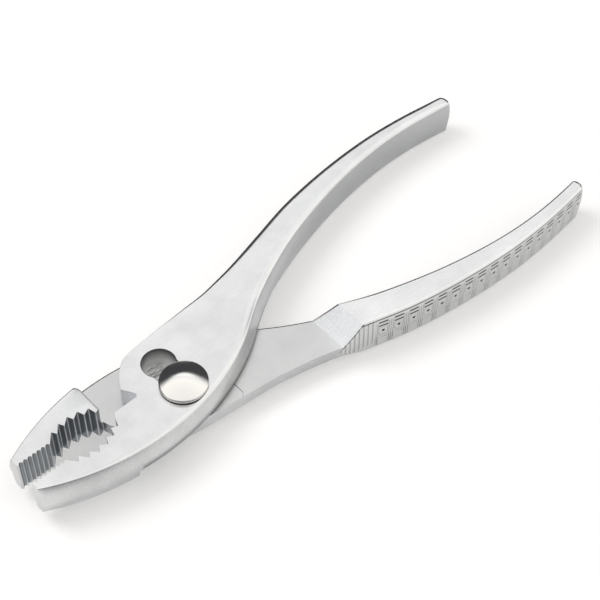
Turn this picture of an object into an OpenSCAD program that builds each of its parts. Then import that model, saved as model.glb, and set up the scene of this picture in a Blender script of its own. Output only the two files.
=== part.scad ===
// Slip joint pliers: two drop-forged halves in a half-lap joint, with a two-position
// pivot bolt and its nut. The bolt's axis is the Z axis, the jaws reach towards -X.

/* [Overall] */
// Reach of the jaws ahead of the pivot bolt
jaw_reach = 43; // [41:0.5:46]
// Reach of the bolt half's handle behind the pivot bolt
bolt_handle_reach = 120.1; // [110:0.5:135]
// Reach of the slotted half's handle behind the pivot bolt
slotted_handle_reach = 116.2; // [108:0.5:130]
// Thickness of the jaws, from side face to side face
jaw_t = 9.8; // [9:0.1:12]
// Height of the handles
handle_h = 11; // [10.5:0.1:13]

/* [Jaws] */
// Radius of the jaw's curved back, from its tip to the neck
back_r = 62.5; // [56:0.5:72]
// Width of the blunt jaw tip
tip_w = 2.3; // [1.5:0.1:3]
// Height of the gripping face above the half's centre line
face_rise = 7.2; // [6.8:0.1:7.8]
// Pitch of the fine cross ribs at the jaw tip
fine_pitch = 1.245; // [1:0.005:1.5]
// Depth of the grooves between the fine ribs
fine_depth = 0.55; // [0.3:0.05:0.7]
// Radius of the hollow pipe grip, measured to the tooth roots
grip_r = 11.6; // [11:0.1:12.5]
// Height of the teeth in the pipe grip
tooth_h = 1.55; // [1:0.05:2]
// Number of tooth roots in the pipe grip
root_count = 6; // [5:1:6]
// Land between the pipe grip and the milled step of the joint
grip_land = 0.5; // [0.3:0.1:2]

/* [Joint] */
// Distance between the two positions of the pivot bolt
shift = 8.78; // [8:0.02:9.5]
// Direction of the slot, measured from the direction of the handles
slot_angle = 94.3; // [90:0.1:98]
// Diameter of the two round positions of the slot
position_d = 8.5; // [8.3:0.1:9]
// Width of the channel that joins the two positions
channel_w = 7.2; // [6.6:0.1:7.8]
// Thickness of the slotted half's plate in the half-lap joint
slotted_plate_t = 5.9; // [5:0.1:6.4]
// Running gap between faces that slide on each other
run_gap = 0.05; // [0.03:0.01:0.1]
// Distance of the milled joint step ahead of the pivot bolt
step_ahead = 19.4; // [18.8:0.1:20.5]
// Radius of the jaw's corner at the milled step
step_corner_r = 2.4; // [1:0.1:3]
// Distance of the neck, where jaw and handle meet, behind the pivot bolt
neck_behind = 21.5; // [19:0.5:24]
// Height of the back at the neck above the half's centre line
neck_rise = 6.1; // [5:0.1:7.5]
// Distance of the ramp's foot behind the pivot bolt
ramp_behind = 38.5; // [36:0.5:42]
// Length of the ramp from the plate to the full handle
ramp_len = 5.2; // [4:0.1:7]
// Radius of the round end of the joint
lobe_r = 14.2; // [13.5:0.1:15]
// Depth of the wire cutter's notch from the round end
notch_depth = 2.15; // [1.5:0.05:2.6]

/* [Pivot bolt and nut] */
// Diameter of the domed bolt head
head_d = 12; // [11:0.1:13]
// Height of the head's straight rim
rim_h = 1.3; // [0.8:0.1:1.8]
// Height of the head's dome above the rim
dome_h = 1.8; // [1:0.1:2.4]
// Radius of the head's rounded rim edge
rim_edge_r = 0.3; // [0.15:0.05:0.5]
// Diameter of the bolt's shank in the bolt half
shank_d = 6.5; // [6:0.1:7]
// Height of the nut
nut_h = 2.6; // [2.2:0.1:3.5]
// Width of the nut across its flats
nut_af = 11; // [10:0.5:12]

/* [Handles] */
// Greatest distance of the handle's outer edge from the half's centre line
handle_spread = 22.4; // [20:0.2:25]
// Bulge of the handle's end at half height
end_crown = 1; // [0.2:0.1:1.5]
// Radius that rounds the forged edges
edge_r = 0.8; // [0.4:0.05:1.1]
// Bulge of the forged sides at half height
side_crown = 1.5; // [0.8:0.1:1.7]
// Pitch of the cells stamped in the grip
cell_pitch = 4.22; // [3.8:0.02:4.6]
// Number of stamped cells
cell_count = 17; // [10:1:17]
// Plain stretch between the ramp and the first stamped cell
cell_gap = 3.5; // [2:0.1:6]
// Height of the ribs between the stamped cells
rib_h = 0.35; // [0.2:0.05:0.5]

/* [Hidden] */

// One overrun for every cut, and the number of segments of exact rounds
over = 1;
round_fn = 96;

// Levels: the bolt's end and the nut's face lie at zero
side_z = nut_h;
top_z = side_z + jaw_t;
handle_z = top_z - handle_h;
lap_z = top_z - slotted_plate_t;

// The two halves are mirror images about the line midway between the two positions
slot_way = shift * [cos(slot_angle), sin(slot_angle)];

// Teeth of the pipe grip: angles are measured from straight up, towards the handle
root_angle = -25.4;
root_step = 13.4;
crest_angle = -24.3;
crest_step = 15.3;
last_root_angle = root_angle + (root_count - 1) * root_step;
grip_ahead = step_ahead - grip_land + grip_r * sin(last_root_angle);
grip_drop = grip_r / 14.5;

// Side profile of the forgings: a parabola that bulges at half the jaws' thickness
mid_z = side_z + jaw_t / 2;
function bulge(z) = max(0, 1 - pow((z - mid_z) / (jaw_t / 2), 2));

// Heights and insets of one side, with its lower and upper edge rounded by eb and et
function side_steps(zb, zt, eb, et) = [
    [zb, eb], [zb + eb * 0.3, eb * 0.3], [zb + eb, 0],
    [zb + (zt - zb) * 0.4, 0], [zb + (zt - zb) * 0.7, 0],
    [zt - et, 0], [zt - et * 0.3, et * 0.3], [zt, et]
];

// Handle stations: share of the handle's length from the neck, then the inner and the
// outer edge as shares of the handle's spread, then the side crown's share on each edge
station_shares = [
    [0.000, 0.272, -0.435, 1.15, 0.30],
    [0.100, -0.018, -0.529, 1.10, 0.20],
    [0.232, -0.295, -0.687, 0.75, 0.10],
    [0.368, -0.504, -0.844, 0.30, 0.12],
    [0.530, -0.683, -0.953, 0.05, 0.12],
    [0.694, -0.786, -1.000, 0.00, 0.12],
    [0.836, -0.801, -0.978, 0.00, 0.12],
    [1.000, -0.741, -0.897, 0.00, 0.10]
];
stations = len(station_shares);

// Cubic interpolation of column c of the station table at the share s of the length
function column(i, c) = station_shares[min(max(i, 0), stations - 1)][c];
function slope(c, i) = (column(i + 1, c) - column(i - 1, c)) / (column(i + 1, 0) - column(i - 1, 0));
function span_of(s, i = 0) = i >= stations - 2 || s <= station_shares[i + 1][0] ? i : span_of(s, i + 1);
function station_at(s, c) =
    let (i = span_of(s), a = station_shares[i], b = station_shares[i + 1])
    let (w = b[0] - a[0], t = (s - a[0]) / w)
    let (t2 = t * t, t3 = t2 * t)
    (2 * t3 - 3 * t2 + 1) * a[c] + (t3 - 2 * t2 + t) * w * slope(c, i)
    + (3 * t2 - 2 * t3) * b[c] + (t3 - t2) * w * slope(c, i + 1);

function polar(r, a) = r * [sin(a), cos(a)];
function along(u, reach) = (u - neck_behind) / (reach - neck_behind);

// The back is one arc from the jaw's tip to the neck; the handle's inner edge leaves it
// at the neck
tip_point = [-jaw_reach, face_rise + tip_w];
neck_point = [neck_behind, neck_rise];
back_chord = neck_point - tip_point;
back_depth = sqrt(back_r * back_r - pow(norm(back_chord) / 2, 2));
back_centre = (tip_point + neck_point) / 2 + back_depth * [back_chord[1], -back_chord[0]] / norm(back_chord);
function back_at(u) = back_centre[1] + sqrt(back_r * back_r - pow(u - back_centre[0], 2));
back_rise = back_centre[1] + back_r;
neck_fix = back_at(neck_behind) - handle_spread * station_shares[0][1];
function inner_edge(u, reach) =
    let (s = along(u, reach))
    handle_spread * station_at(s, 1) + neck_fix * pow(1 - s, 8);
function outer_edge(u, reach) = handle_spread * station_at(along(u, reach), 2);

// Fine ribs from the pipe grip to the tip: round grooves between sharp crests
fine_end = [grip_r * sin(root_angle) - grip_ahead - 1.4 * tooth_h, face_rise];
fine_count = floor((jaw_reach + fine_end[0]) / fine_pitch - 0.2);
fine_start = fine_end - [fine_count * fine_pitch, 0];
groove_r = (fine_depth * fine_depth + fine_pitch * fine_pitch / 4) / (2 * fine_depth);
groove_half = asin(min(1, fine_pitch / 2 / groove_r));
fine_ribs = [for (i = [0:fine_count - 1], k = [0:4])
    fine_start + [(i + 0.5) * fine_pitch, fine_depth - groove_r]
    + polar(groove_r, -groove_half + k * groove_half / 2)
];

// Teeth of the pipe grip, roots and crests by turns
grip_centre = [-grip_ahead, -grip_drop];
pipe_teeth = [for (i = [0:root_count - 1], k = [0:1])
    if (k == 0 || i < root_count - 1)
        k == 0 ? grip_centre + polar(grip_r, root_angle + i * root_step)
               : grip_centre + polar(grip_r - tooth_h, crest_angle + i * crest_step)
];

// Heel of the pipe grip, shear edge and notch of the wire cutter, then the round end
heel_shares = [[-0.934, 0.79], [-0.892, 0.60]];
heel = [for (s = heel_shares) [s[0] * step_ahead, s[1] * face_rise]];
shear_rise = heel[1][1] - tooth_h / 15;
lobe_centre_shares = [0.07, 0.387];
lobe_centre = lobe_r * lobe_centre_shares;
function lobe_at(a) = lobe_centre + lobe_r * [cos(a), sin(a)];
lobe_from = 201;
lobe_to = 239;
cutter = [
    [lobe_at(lobe_from)[0] + notch_depth * 0.82, shear_rise],
    lobe_at(lobe_from) + notch_depth * [1, 1.36]
];
lobe = [for (k = [0:7]) lobe_at(lobe_from + k * (lobe_to - lobe_from) / 7)];
lobe_foot_shares = [[-0.225, -0.518], [0.18, -0.565]];
lobe_foot = [for (s = lobe_foot_shares) lobe_r * s];
neck_outer = outer_edge(neck_behind, bolt_handle_reach) - side_crown * station_shares[0][4];

// Jaw and plate in plan, drawn past the back: the back's own profile trims it
function jaw_outline() = concat(
    fine_ribs,
    [fine_end],
    pipe_teeth,
    heel,
    cutter,
    lobe,
    lobe_foot,
    [[neck_behind * 0.6, (lobe_foot[1][1] + neck_outer) / 2 + edge_r * 0.3], [neck_behind, neck_outer]],
    [[neck_behind, back_rise + side_crown + over], [-jaw_reach, back_rise + side_crown + over]],
    [[-jaw_reach, face_rise]]
);

// The back: a ring whose rim has rounded edges and the forging's bulge
module back_ring() {
    steps = side_steps(side_z, top_z, edge_r, edge_r);
    translate([back_centre[0], back_centre[1], 0])
        rotate_extrude($fn = 240)
            polygon(concat(
                [[back_r / 4, side_z]],
                [for (v = steps) [back_r + side_crown * bulge(v[0]) - v[1], v[0]]],
                [[back_r / 4, top_z]]
            ));
}

module jaw_and_plate() {
    intersection() {
        translate([0, 0, side_z])
            linear_extrude(jaw_t)
                polygon(jaw_outline());
        back_ring();
    }
}

// Places of the handle's sections: the neck, the ramp, the stamped cells and the end
rib_profile_shares = [[0, 1], [0.16, 1], [0.3, 0], [0.86, 0]];
end_w_share = 0.078;
ramp_top = ramp_behind + ramp_len;
cell_start = ramp_top + cell_gap;
cell_end = cell_start + cell_count * cell_pitch;
function sections(reach) =
    let (end_u = reach - handle_spread * end_w_share)
    concat(
        [for (k = [0:4]) [neck_behind + k * (ramp_behind - neck_behind) / 5, 0]],
        [[ramp_behind, 0], [ramp_behind + ramp_len / 2, 0], [ramp_top, 0]],
        [for (i = [0:cell_count - 1], s = rib_profile_shares)
            if (cell_start + (i + s[0]) * cell_pitch < end_u)
                [cell_start + (i + s[0]) * cell_pitch, s[1]]
        ],
        [for (k = [0:3]) [end_u + (reach - end_u) * sin(k * 28), 0]]
    );

// A level that changes from a to b along the ramp
function ramped(u, a, b) = a + (b - a) * min(1, max(0, (u - ramp_behind) / ramp_len));

// One section of the handle: the outer side upwards, then the inner side downwards
function section(u, relief, reach, zb, zt, eb, et) =
    let (end_w = handle_spread * end_w_share, t = max(0, (u - reach) / end_w + 1))
    let (vi = inner_edge(u, reach), vo = outer_edge(u, reach), vm = (vi + vo) / 2)
    let (fit = sqrt(1 - t * t), w = (vi - vo) / 2 * max(fit, 0.3))
    let (s = along(u, reach), most = w * 0.6)
    let (ease = min(1, max(0.1, (u - neck_behind) / (ramp_behind - neck_behind))))
    let (outer = side_steps(zb, zt, min(eb * ease, most), min(et * ease, most)))
    let (inner = side_steps(zb, zt, min(eb, most), min(et, most)), n = len(inner))
    let (nose = end_crown * min(1, max(0, (u - reach) / end_w + 2) / 2))
    concat(
        [for (i = [0:n - 1])
            let (z = outer[i][0], rib = i > 0 && i < n - 3 ? relief * rib_h : 0)
            [u + nose * (bulge(z) - 1), vm - w - side_crown * station_at(s, 4) * bulge(z) * fit + outer[i][1] - rib, z]
        ],
        [for (i = [n - 1:-1:0])
            let (z = inner[i][0])
            [u + nose * (bulge(z) - 1), vm + w + side_crown * station_at(s, 3) * bulge(z) * fit - inner[i][1], z]
        ]
    );

// The handle: a loft through its sections; upper says on which side the lap lies
module handle(reach, upper) {
    list = sections(reach);
    rings = [for (c = list)
        let (u = c[0], lap_edge = ramped(u, edge_r / 10, edge_r))
        upper ? section(u, c[1], reach, ramped(u, lap_z, handle_z), top_z, lap_edge, edge_r)
              : section(u, c[1], reach, ramped(u, side_z, handle_z),
                    ramped(u, lap_z - run_gap, top_z), edge_r, lap_edge)
    ];
    m = len(rings);
    n = len(rings[0]);
    sides = [for (j = [0:m - 2], i = [0:n - 1], k = [0:1])
        let (a = j * n + i, b = j * n + (i + 1) % n)
        k == 0 ? [a, b, b + n] : [a, b + n, a + n]
    ];
    first = [[for (i = [n - 1:-1:0]) i]];
    last = [[for (i = [0:n - 1]) (m - 1) * n + i]];
    polyhedron(points = [for (r = rings, p = r) p], faces = concat(sides, first, last), convexity = 12);
}

// The lap's cut in a jaw, from one level to another, and the jaw's rounded corner there
module lap_cut(from_z, to_z) {
    corner = back_at(-step_ahead) + side_crown / 3;
    r = step_corner_r;
    translate([0, 0, from_z])
        linear_extrude(to_z - from_z)
            polygon(concat(
                [[neck_behind + over, -jaw_reach], [neck_behind + over, jaw_reach], [-step_ahead - r, jaw_reach]],
                [for (a = [90:-15:0]) [-step_ahead - r * (1 - cos(a)), corner - r * (1 - sin(a))]],
                [[-step_ahead, -jaw_reach]]
            ));
}

// Slotted half: the upper plate, with the two positions and their channel
module slotted_half() {
    color("gainsboro")
        translate([0, slot_way[1], 0])
            mirror([0, 1, 0]) {
                difference() {
                    jaw_and_plate();
                    lap_cut(side_z - over, lap_z);
                    for (p = [[0, slot_way[1]], [slot_way[0], 0]])
                        translate([p[0], p[1], lap_z - over])
                            cylinder(d = position_d, h = slotted_plate_t + 2 * over, $fn = round_fn);
                    translate([slot_way[0], 0, lap_z - over])
                        rotate([0, 0, 180 - slot_angle])
                            translate([0, -channel_w / 2, 0])
                                cube([shift, channel_w, slotted_plate_t + 2 * over]);
                }
                handle(slotted_handle_reach, true);
            }
}

// Bolt half: the lower plate, bored for the bolt's round shank
module bolt_half() {
    color("silver") {
        difference() {
            jaw_and_plate();
            lap_cut(lap_z - run_gap, top_z + over);
            translate([0, 0, side_z - over])
                cylinder(d = shank_d + 2 * run_gap, h = jaw_t, $fn = round_fn);
        }
        handle(bolt_handle_reach, false);
    }
}

// Pivot bolt: domed head, flats that fit the channel, round shank down to the nut's face
neck_d = position_d - 4 * run_gap;
neck_af = channel_w - 4 * run_gap;
dome_r = (dome_h * dome_h + pow(head_d / 2 - rim_edge_r, 2)) / (2 * dome_h);
dome_half = asin((head_d / 2 - rim_edge_r) / dome_r);
head_z = top_z + run_gap;
rim_z = head_z + rim_h;
module pivot_bolt() {
    color("lightsteelblue") {
        rotate_extrude($fn = round_fn)
            polygon(concat(
                [[0, head_z], [head_d / 2, head_z], [head_d / 2, rim_z - rim_edge_r]],
                [for (a = [15, 45, 75, 90])
                    [head_d / 2 - rim_edge_r * (1 - cos(a)), rim_z - rim_edge_r * (1 - sin(a))]],
                [for (a = [dome_half * 0.85:-dome_half / 8:1])
                    [dome_r * sin(a), rim_z + dome_h - dome_r * (1 - cos(a))]],
                [[0, rim_z + dome_h]]
            ));
        intersection() {
            translate([0, 0, lap_z + run_gap])
                cylinder(d = neck_d, h = slotted_plate_t + rim_h / 2, $fn = round_fn);
            translate([0, 0, lap_z + run_gap])
                rotate([0, 0, slot_angle])
                    translate([-position_d, -neck_af / 2, 0])
                        cube([2 * position_d, neck_af, slotted_plate_t + rim_h / 2]);
        }
        cylinder(d = shank_d, h = lap_z + 2 * run_gap, $fn = round_fn);
    }
}

// Pivot nut: a flat hexagon, bored for the bolt, its corners turned off on the outer face
nut_chamfer = nut_h / 5;
module pivot_nut() {
    color("silver")
        difference() {
            cylinder(d = nut_af / cos(30), h = nut_h - run_gap, $fn = 6);
            translate([0, 0, -over])
                cylinder(d = shank_d + run_gap, h = nut_h + 2 * over, $fn = round_fn);
            difference() {
                translate([0, 0, -over])
                    cylinder(d = 2 * nut_af, h = nut_chamfer + over, $fn = round_fn);
                translate([0, 0, -over])
                    cylinder(d1 = nut_af - 2 * over, d2 = nut_af + 2 * nut_chamfer, h = nut_chamfer + over,
                        $fn = round_fn);
            }
        }
}

slotted_half();
bolt_half();
pivot_bolt();
pivot_nut();
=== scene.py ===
import math

import bmesh
import bpy
import numpy as np
from mathutils import Matrix, Vector
from mathutils.geometry import tessellate_polygon


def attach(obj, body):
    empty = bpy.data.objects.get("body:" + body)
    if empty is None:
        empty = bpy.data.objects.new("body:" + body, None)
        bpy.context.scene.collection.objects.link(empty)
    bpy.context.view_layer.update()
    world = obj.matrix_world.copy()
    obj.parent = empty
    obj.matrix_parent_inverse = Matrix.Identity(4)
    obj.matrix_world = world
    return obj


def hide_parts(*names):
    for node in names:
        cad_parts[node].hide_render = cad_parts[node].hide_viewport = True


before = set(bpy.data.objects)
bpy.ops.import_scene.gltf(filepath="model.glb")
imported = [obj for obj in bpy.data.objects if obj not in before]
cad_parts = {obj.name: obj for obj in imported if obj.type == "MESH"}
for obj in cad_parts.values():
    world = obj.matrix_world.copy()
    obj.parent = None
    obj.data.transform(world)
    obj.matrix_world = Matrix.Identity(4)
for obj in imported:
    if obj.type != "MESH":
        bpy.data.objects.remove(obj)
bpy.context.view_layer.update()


# The camera: a long lens 38 cm away that looks down on the pliers at 51 degrees, with the
# jaws towards it and the handles running away from it.
def in_scene(name, data):
    """A new object of that name at the scene's origin."""
    made = bpy.data.objects.new(name, data)
    bpy.context.scene.collection.objects.link(made)
    return made


def aim(lens_or_lamp, place, target):
    """Puts a camera or a lamp at the place and turns it to the target."""
    lens_or_lamp.location = place
    way = Vector(target) - lens_or_lamp.location
    lens_or_lamp.rotation_euler = way.to_track_quat("-Z", "Y").to_euler()


camera = in_scene("camera", bpy.data.cameras.new("camera"))
camera.data.sensor_width = 36
camera.data.lens = 92.84
camera.data.clip_start = 0.01
aim(camera, (-0.1226, -0.1786, 0.3093), (0.03748, 0.00074, 0.0124))
bpy.context.scene.camera = camera
bpy.context.scene.view_settings.view_transform = "Standard"


# The floor: a sheet of white card under the pliers. They rest on the nut and on the two
# handle ends, so the card is drawn tilted by two thirds of a degree to touch all three.
class Wire:
    """A socket of a node tree that takes part in sums, and makes further nodes."""

    def __init__(self, tree, socket=None):
        self.tree = tree
        self.socket = socket

    def node(self, kind, settings=None, sockets=None, out=0):
        made = self.tree.nodes.new(kind)
        for name, value in (settings or {}).items():
            if name == "stops":
                ramp = made.color_ramp
                while len(ramp.elements) < len(value):
                    ramp.elements.new(1.0)
                for stop, (place, colour) in zip(ramp.elements, value):
                    stop.position = place
                    stop.color = colour
            else:
                setattr(made, name, value)
        for name, value in (sockets or {}).items():
            if isinstance(value, Wire):
                self.tree.links.new(value.socket, made.inputs[name])
            else:
                made.inputs[name].default_value = value
        return Wire(self.tree, made.outputs[out] if made.outputs else None)

    def math(self, operation, *values):
        return self.node("ShaderNodeMath", {"operation": operation}, dict(enumerate(values)))

    def limited(self):
        """The number held between 0 and 1."""
        return self.math("MINIMUM", self.math("MAXIMUM", self, 0), 1)

    def blend(self, factor, first, second):
        """A mix of two colours; the factor is the share of the second."""
        return self.node("ShaderNodeMix", {"data_type": "RGBA"},
                         {"Factor": factor, 6: first, 7: second}, out=2)

    def eased(self, start, end, first, last):
        """Goes smoothly from first to last while the number goes from start to end."""
        return self.node("ShaderNodeMapRange", {"interpolation_type": "SMOOTHSTEP"}, {
            "Value": self, "From Min": start, "From Max": end, "To Min": first, "To Max": last})

    def __add__(self, other):
        return self.math("ADD", self, other)

    def __radd__(self, other):
        return self.math("ADD", other, self)

    def __sub__(self, other):
        return self.math("SUBTRACT", self, other)

    def __rsub__(self, other):
        return self.math("SUBTRACT", other, self)

    def __mul__(self, other):
        return self.math("MULTIPLY", self, other)

    def __rmul__(self, other):
        return self.math("MULTIPLY", other, self)

    def __truediv__(self, other):
        return self.math("DIVIDE", self, other)

    def __rtruediv__(self, other):
        return self.math("DIVIDE", other, self)

    def __gt__(self, other):
        return self.math("GREATER_THAN", self, other)

    def __lt__(self, other):
        return self.math("LESS_THAN", self, other)


def fresh_material(name):
    material = bpy.data.materials.new(name)
    material.use_nodes = True
    material.node_tree.nodes.clear()
    return material, Wire(material.node_tree)


floor_half = 4.0
floor_slope = 1.4 / 120
floor_sink = 0.00008
card_glow = 0.31
floor_mesh = bpy.data.meshes.new("floor")
floor_mesh.from_pydata(
    [(x, y, x * floor_slope - floor_sink)
     for x, y in ((-floor_half, -floor_half), (floor_half, -floor_half),
                  (floor_half, floor_half), (-floor_half, floor_half))],
    [], [(0, 1, 2, 3)])
floor = in_scene("floor", floor_mesh)
card, wire = fresh_material("white_card")
seen = wire.node("ShaderNodeLightPath", out="Is Camera Ray")
mirrored = wire.node("ShaderNodeLightPath", out="Is Glossy Ray")
through = wire.node("ShaderNodeLightPath", out="Is Transmission Ray")
shown = wire.math("MINIMUM", seen + mirrored + through, 1)
glow = wire.node("ShaderNodeEmission", sockets={
    "Color": (1.0, 1.0, 1.0, 1), "Strength": shown * card_glow})
paper = wire.node("ShaderNodeBsdfDiffuse", sockets={"Color": (0.70, 0.695, 0.69, 1)})
wire.node("ShaderNodeOutputMaterial", sockets={
    "Surface": wire.node("ShaderNodeAddShader", sockets={0: glow, 1: paper})})
floor_mesh.materials.append(card)

# The studio: white all round and overhead, with a dark strip low down on the far side,
# which draws the thin dark lines along the far edges of polished steel, and one wide
# softbox over the far handle, which throws the soft shadow towards the camera.
strip_colour = (0.05, 0.05, 0.055, 1)
world = bpy.data.worlds.new("studio")
bpy.context.scene.world = world
world.use_nodes = True
world.node_tree.nodes.clear()
wire = Wire(world.node_tree)
direction = wire.node("ShaderNodeTexCoord", out="Generated")


def facing(x, y):
    """How far a direction points that way: 1 along it, 0 across it, -1 against it."""
    return wire.node("ShaderNodeVectorMath", {"operation": "DOT_PRODUCT"},
                     {0: direction, 1: (x, y, 0.0)}, out="Value")


farness = facing(0.666, 0.746)
walls = wire.node("ShaderNodeValToRGB", {"stops": [
    (0.00, (0.08, 0.08, 0.085, 1)),
    (0.11, (0.40, 0.40, 0.405, 1)),
    (0.25, (0.90, 0.89, 0.88, 1)),
    (0.66, (1.12, 1.10, 1.07, 1)),
    (0.77, (0.96, 0.96, 0.96, 1)),
    (0.80, (1.02, 1.02, 1.02, 1)),
    (0.82, (1.14, 1.14, 1.14, 1)),
    (0.86, (1.08, 1.08, 1.08, 1)),
]}, {"Fac": farness * 0.5 + 0.5})
height = wire.node("ShaderNodeSeparateXYZ", sockets={0: direction}, out="Z")
low = height.eased(0.50, 0.69, 1.0, 0.0)
behind = facing(0.35, 0.94).eased(0.0, 0.35, 0.0, 1.0)
walls = wire.blend(low * behind, walls, strip_colour)
wire.node("ShaderNodeOutputWorld", sockets={
    "Surface": wire.node("ShaderNodeBackground", sockets={"Color": walls, "Strength": 1.0})})

softbox = in_scene("softbox", bpy.data.lights.new("softbox", "AREA"))
softbox.data.shape = "DISK"
softbox.data.size = 0.6
softbox.data.energy = 3.6
softbox.visible_glossy = False
softbox.data.color = (1.0, 0.99, 0.98)
aim(softbox, (-0.245, 0.516, 0.75), (0.03, 0.0, 0.01))


# Bolt half: the lower forging. It is drop-forged in steel, its back and handle left as
# forged, its lap, step and bore milled, its jaw broached with teeth, its handle stamped
# on the outer face, and the whole nickel-chrome plated.
# Sizes are in millimetres; u runs from the jaw's tip to the handle, v across the half.
jaw_reach, tip_w, face_rise = 43.0, 2.3, 7.2
tip_u = -jaw_reach + 0.02
back_r, neck_behind, neck_rise = 62.5, 21.5, 6.1
fine_pitch, fine_depth, fine_land = 1.245, 0.55, 0.17
grip_r, tooth_h, root_count, grip_land = 11.6, 1.55, 6, 0.5
first_root, root_step, first_crest, crest_step = -25.4, 13.4, -24.3, 15.3
step_ahead, step_corner_r = 19.4, 2.4
lobe_r, notch_depth = 14.2, 2.15
side_z, top_z, handle_z = 2.6, 12.4, 1.4
mid_z = (side_z + top_z) / 2
lap_z, run_gap = 6.5, 0.05
ramp_behind, ramp_top = 38.5, 43.7
handle_spread, side_crown, edge_r, end_crown = 22.4, 1.5, 0.8, 1.0
end_w = handle_spread * 0.078
bolt_handle_reach = 119.9
bolt_r = 3.25

stamping_sizes = {
    "Cell Pitch": 4.22, "Cell Start": 47.2, "Cell Count": 17.0,
    "Rib Pitch": 1.2, "Rib Start": 37.5, "Rib Count": 8.0,
    "Middle Height": 5.9, "Land Height": 0.15, "Groove Depth": 0.17,
    "Dash Depth": 0.3, "Pit Depth": 0.4, "Pit Radius": 0.5}

# Places along the handle as shares of its length, each with its inner and outer edge as
# shares of the spread and with the inner and outer side's share of the crown.
stations = np.array([
    [0.000, 0.272, -0.435, 1.15, 0.30],
    [0.100, -0.018, -0.529, 1.10, 0.20],
    [0.232, -0.295, -0.687, 0.75, 0.10],
    [0.368, -0.504, -0.844, 0.30, 0.12],
    [0.530, -0.683, -0.953, 0.05, 0.12],
    [0.694, -0.786, -1.000, 0.00, 0.12],
    [0.836, -0.801, -0.978, 0.00, 0.12],
    [1.000, -0.741, -0.897, 0.00, 0.10],
])


def through_points(knots, values, x):
    """A smooth line through the values at the knots, read at x."""
    last = len(knots) - 1
    numbers = np.arange(last + 1)
    before, after = np.maximum(numbers - 1, 0), np.minimum(numbers + 1, last)
    slopes = (values[after] - values[before]) / (knots[after] - knots[before])
    i = np.clip(np.searchsorted(knots, x, side="right") - 1, 0, last - 1)
    w = knots[i + 1] - knots[i]
    t = (x - knots[i]) / w
    return ((2 * t**3 - 3 * t**2 + 1) * values[i] + (t**3 - 2 * t**2 + t) * w * slopes[i]
            + (3 * t**2 - 2 * t**3) * values[i + 1] + (t**3 - t**2) * w * slopes[i + 1])


def station(u, reach, column):
    """One column of the stations, read at u on a half whose handle ends at reach."""
    share = (np.asarray(u, float) - neck_behind) / (reach - neck_behind)
    return through_points(stations[:, 0], stations[:, column], share)


tip_point = np.array([-jaw_reach, face_rise + tip_w])
neck_point = np.array([neck_behind, neck_rise])
chord = neck_point - tip_point
half_chord = np.linalg.norm(chord) / 2
square_to_chord = np.array([chord[1], -chord[0]])
back_centre = ((tip_point + neck_point) / 2
               + math.sqrt(back_r**2 - half_chord**2) * square_to_chord / (2 * half_chord))


def back_at(u):
    """The arc of the back, from the jaw's tip to the neck."""
    return back_centre[1] + np.sqrt(back_r**2 - (np.asarray(u, float) - back_centre[0])**2)


def inner_edge(u, reach):
    """The handle's inner edge, drawn in near the neck to meet the back."""
    share = (np.asarray(u, float) - neck_behind) / (reach - neck_behind)
    fix = neck_rise - handle_spread * stations[0, 1]
    return handle_spread * station(u, reach, 1) + fix * np.maximum(1 - share, 0)**8


def outer_edge(u, reach):
    """The handle's outer edge, from the neck to the end."""
    return handle_spread * station(u, reach, 2)


def polar(radius, degrees):
    """A point on a round; the angle runs from straight across the half to the handle."""
    angle = math.radians(degrees)
    return np.array([radius * math.sin(angle), radius * math.cos(angle)])


def part_way(x):
    """The number held between 0 and 1."""
    return np.clip(x, 0, 1)


def soften(points, size, side=0.0):
    """The same line with each corner replaced by a short curve of three points, and with a
    further point at the distance side before and behind it."""
    line = [points[0]]
    for a, b, c in zip(points, points[1:], points[2:]):
        back, ahead = (a - b) / np.linalg.norm(a - b), (c - b) / np.linalg.norm(c - b)
        p, q = b + back * size, b + ahead * size
        curve = [p, (p + 2 * b + q) / 4, q]
        line += [b + back * side, *curve, b + ahead * side] if side else curve
    return line + [points[-1]]


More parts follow.
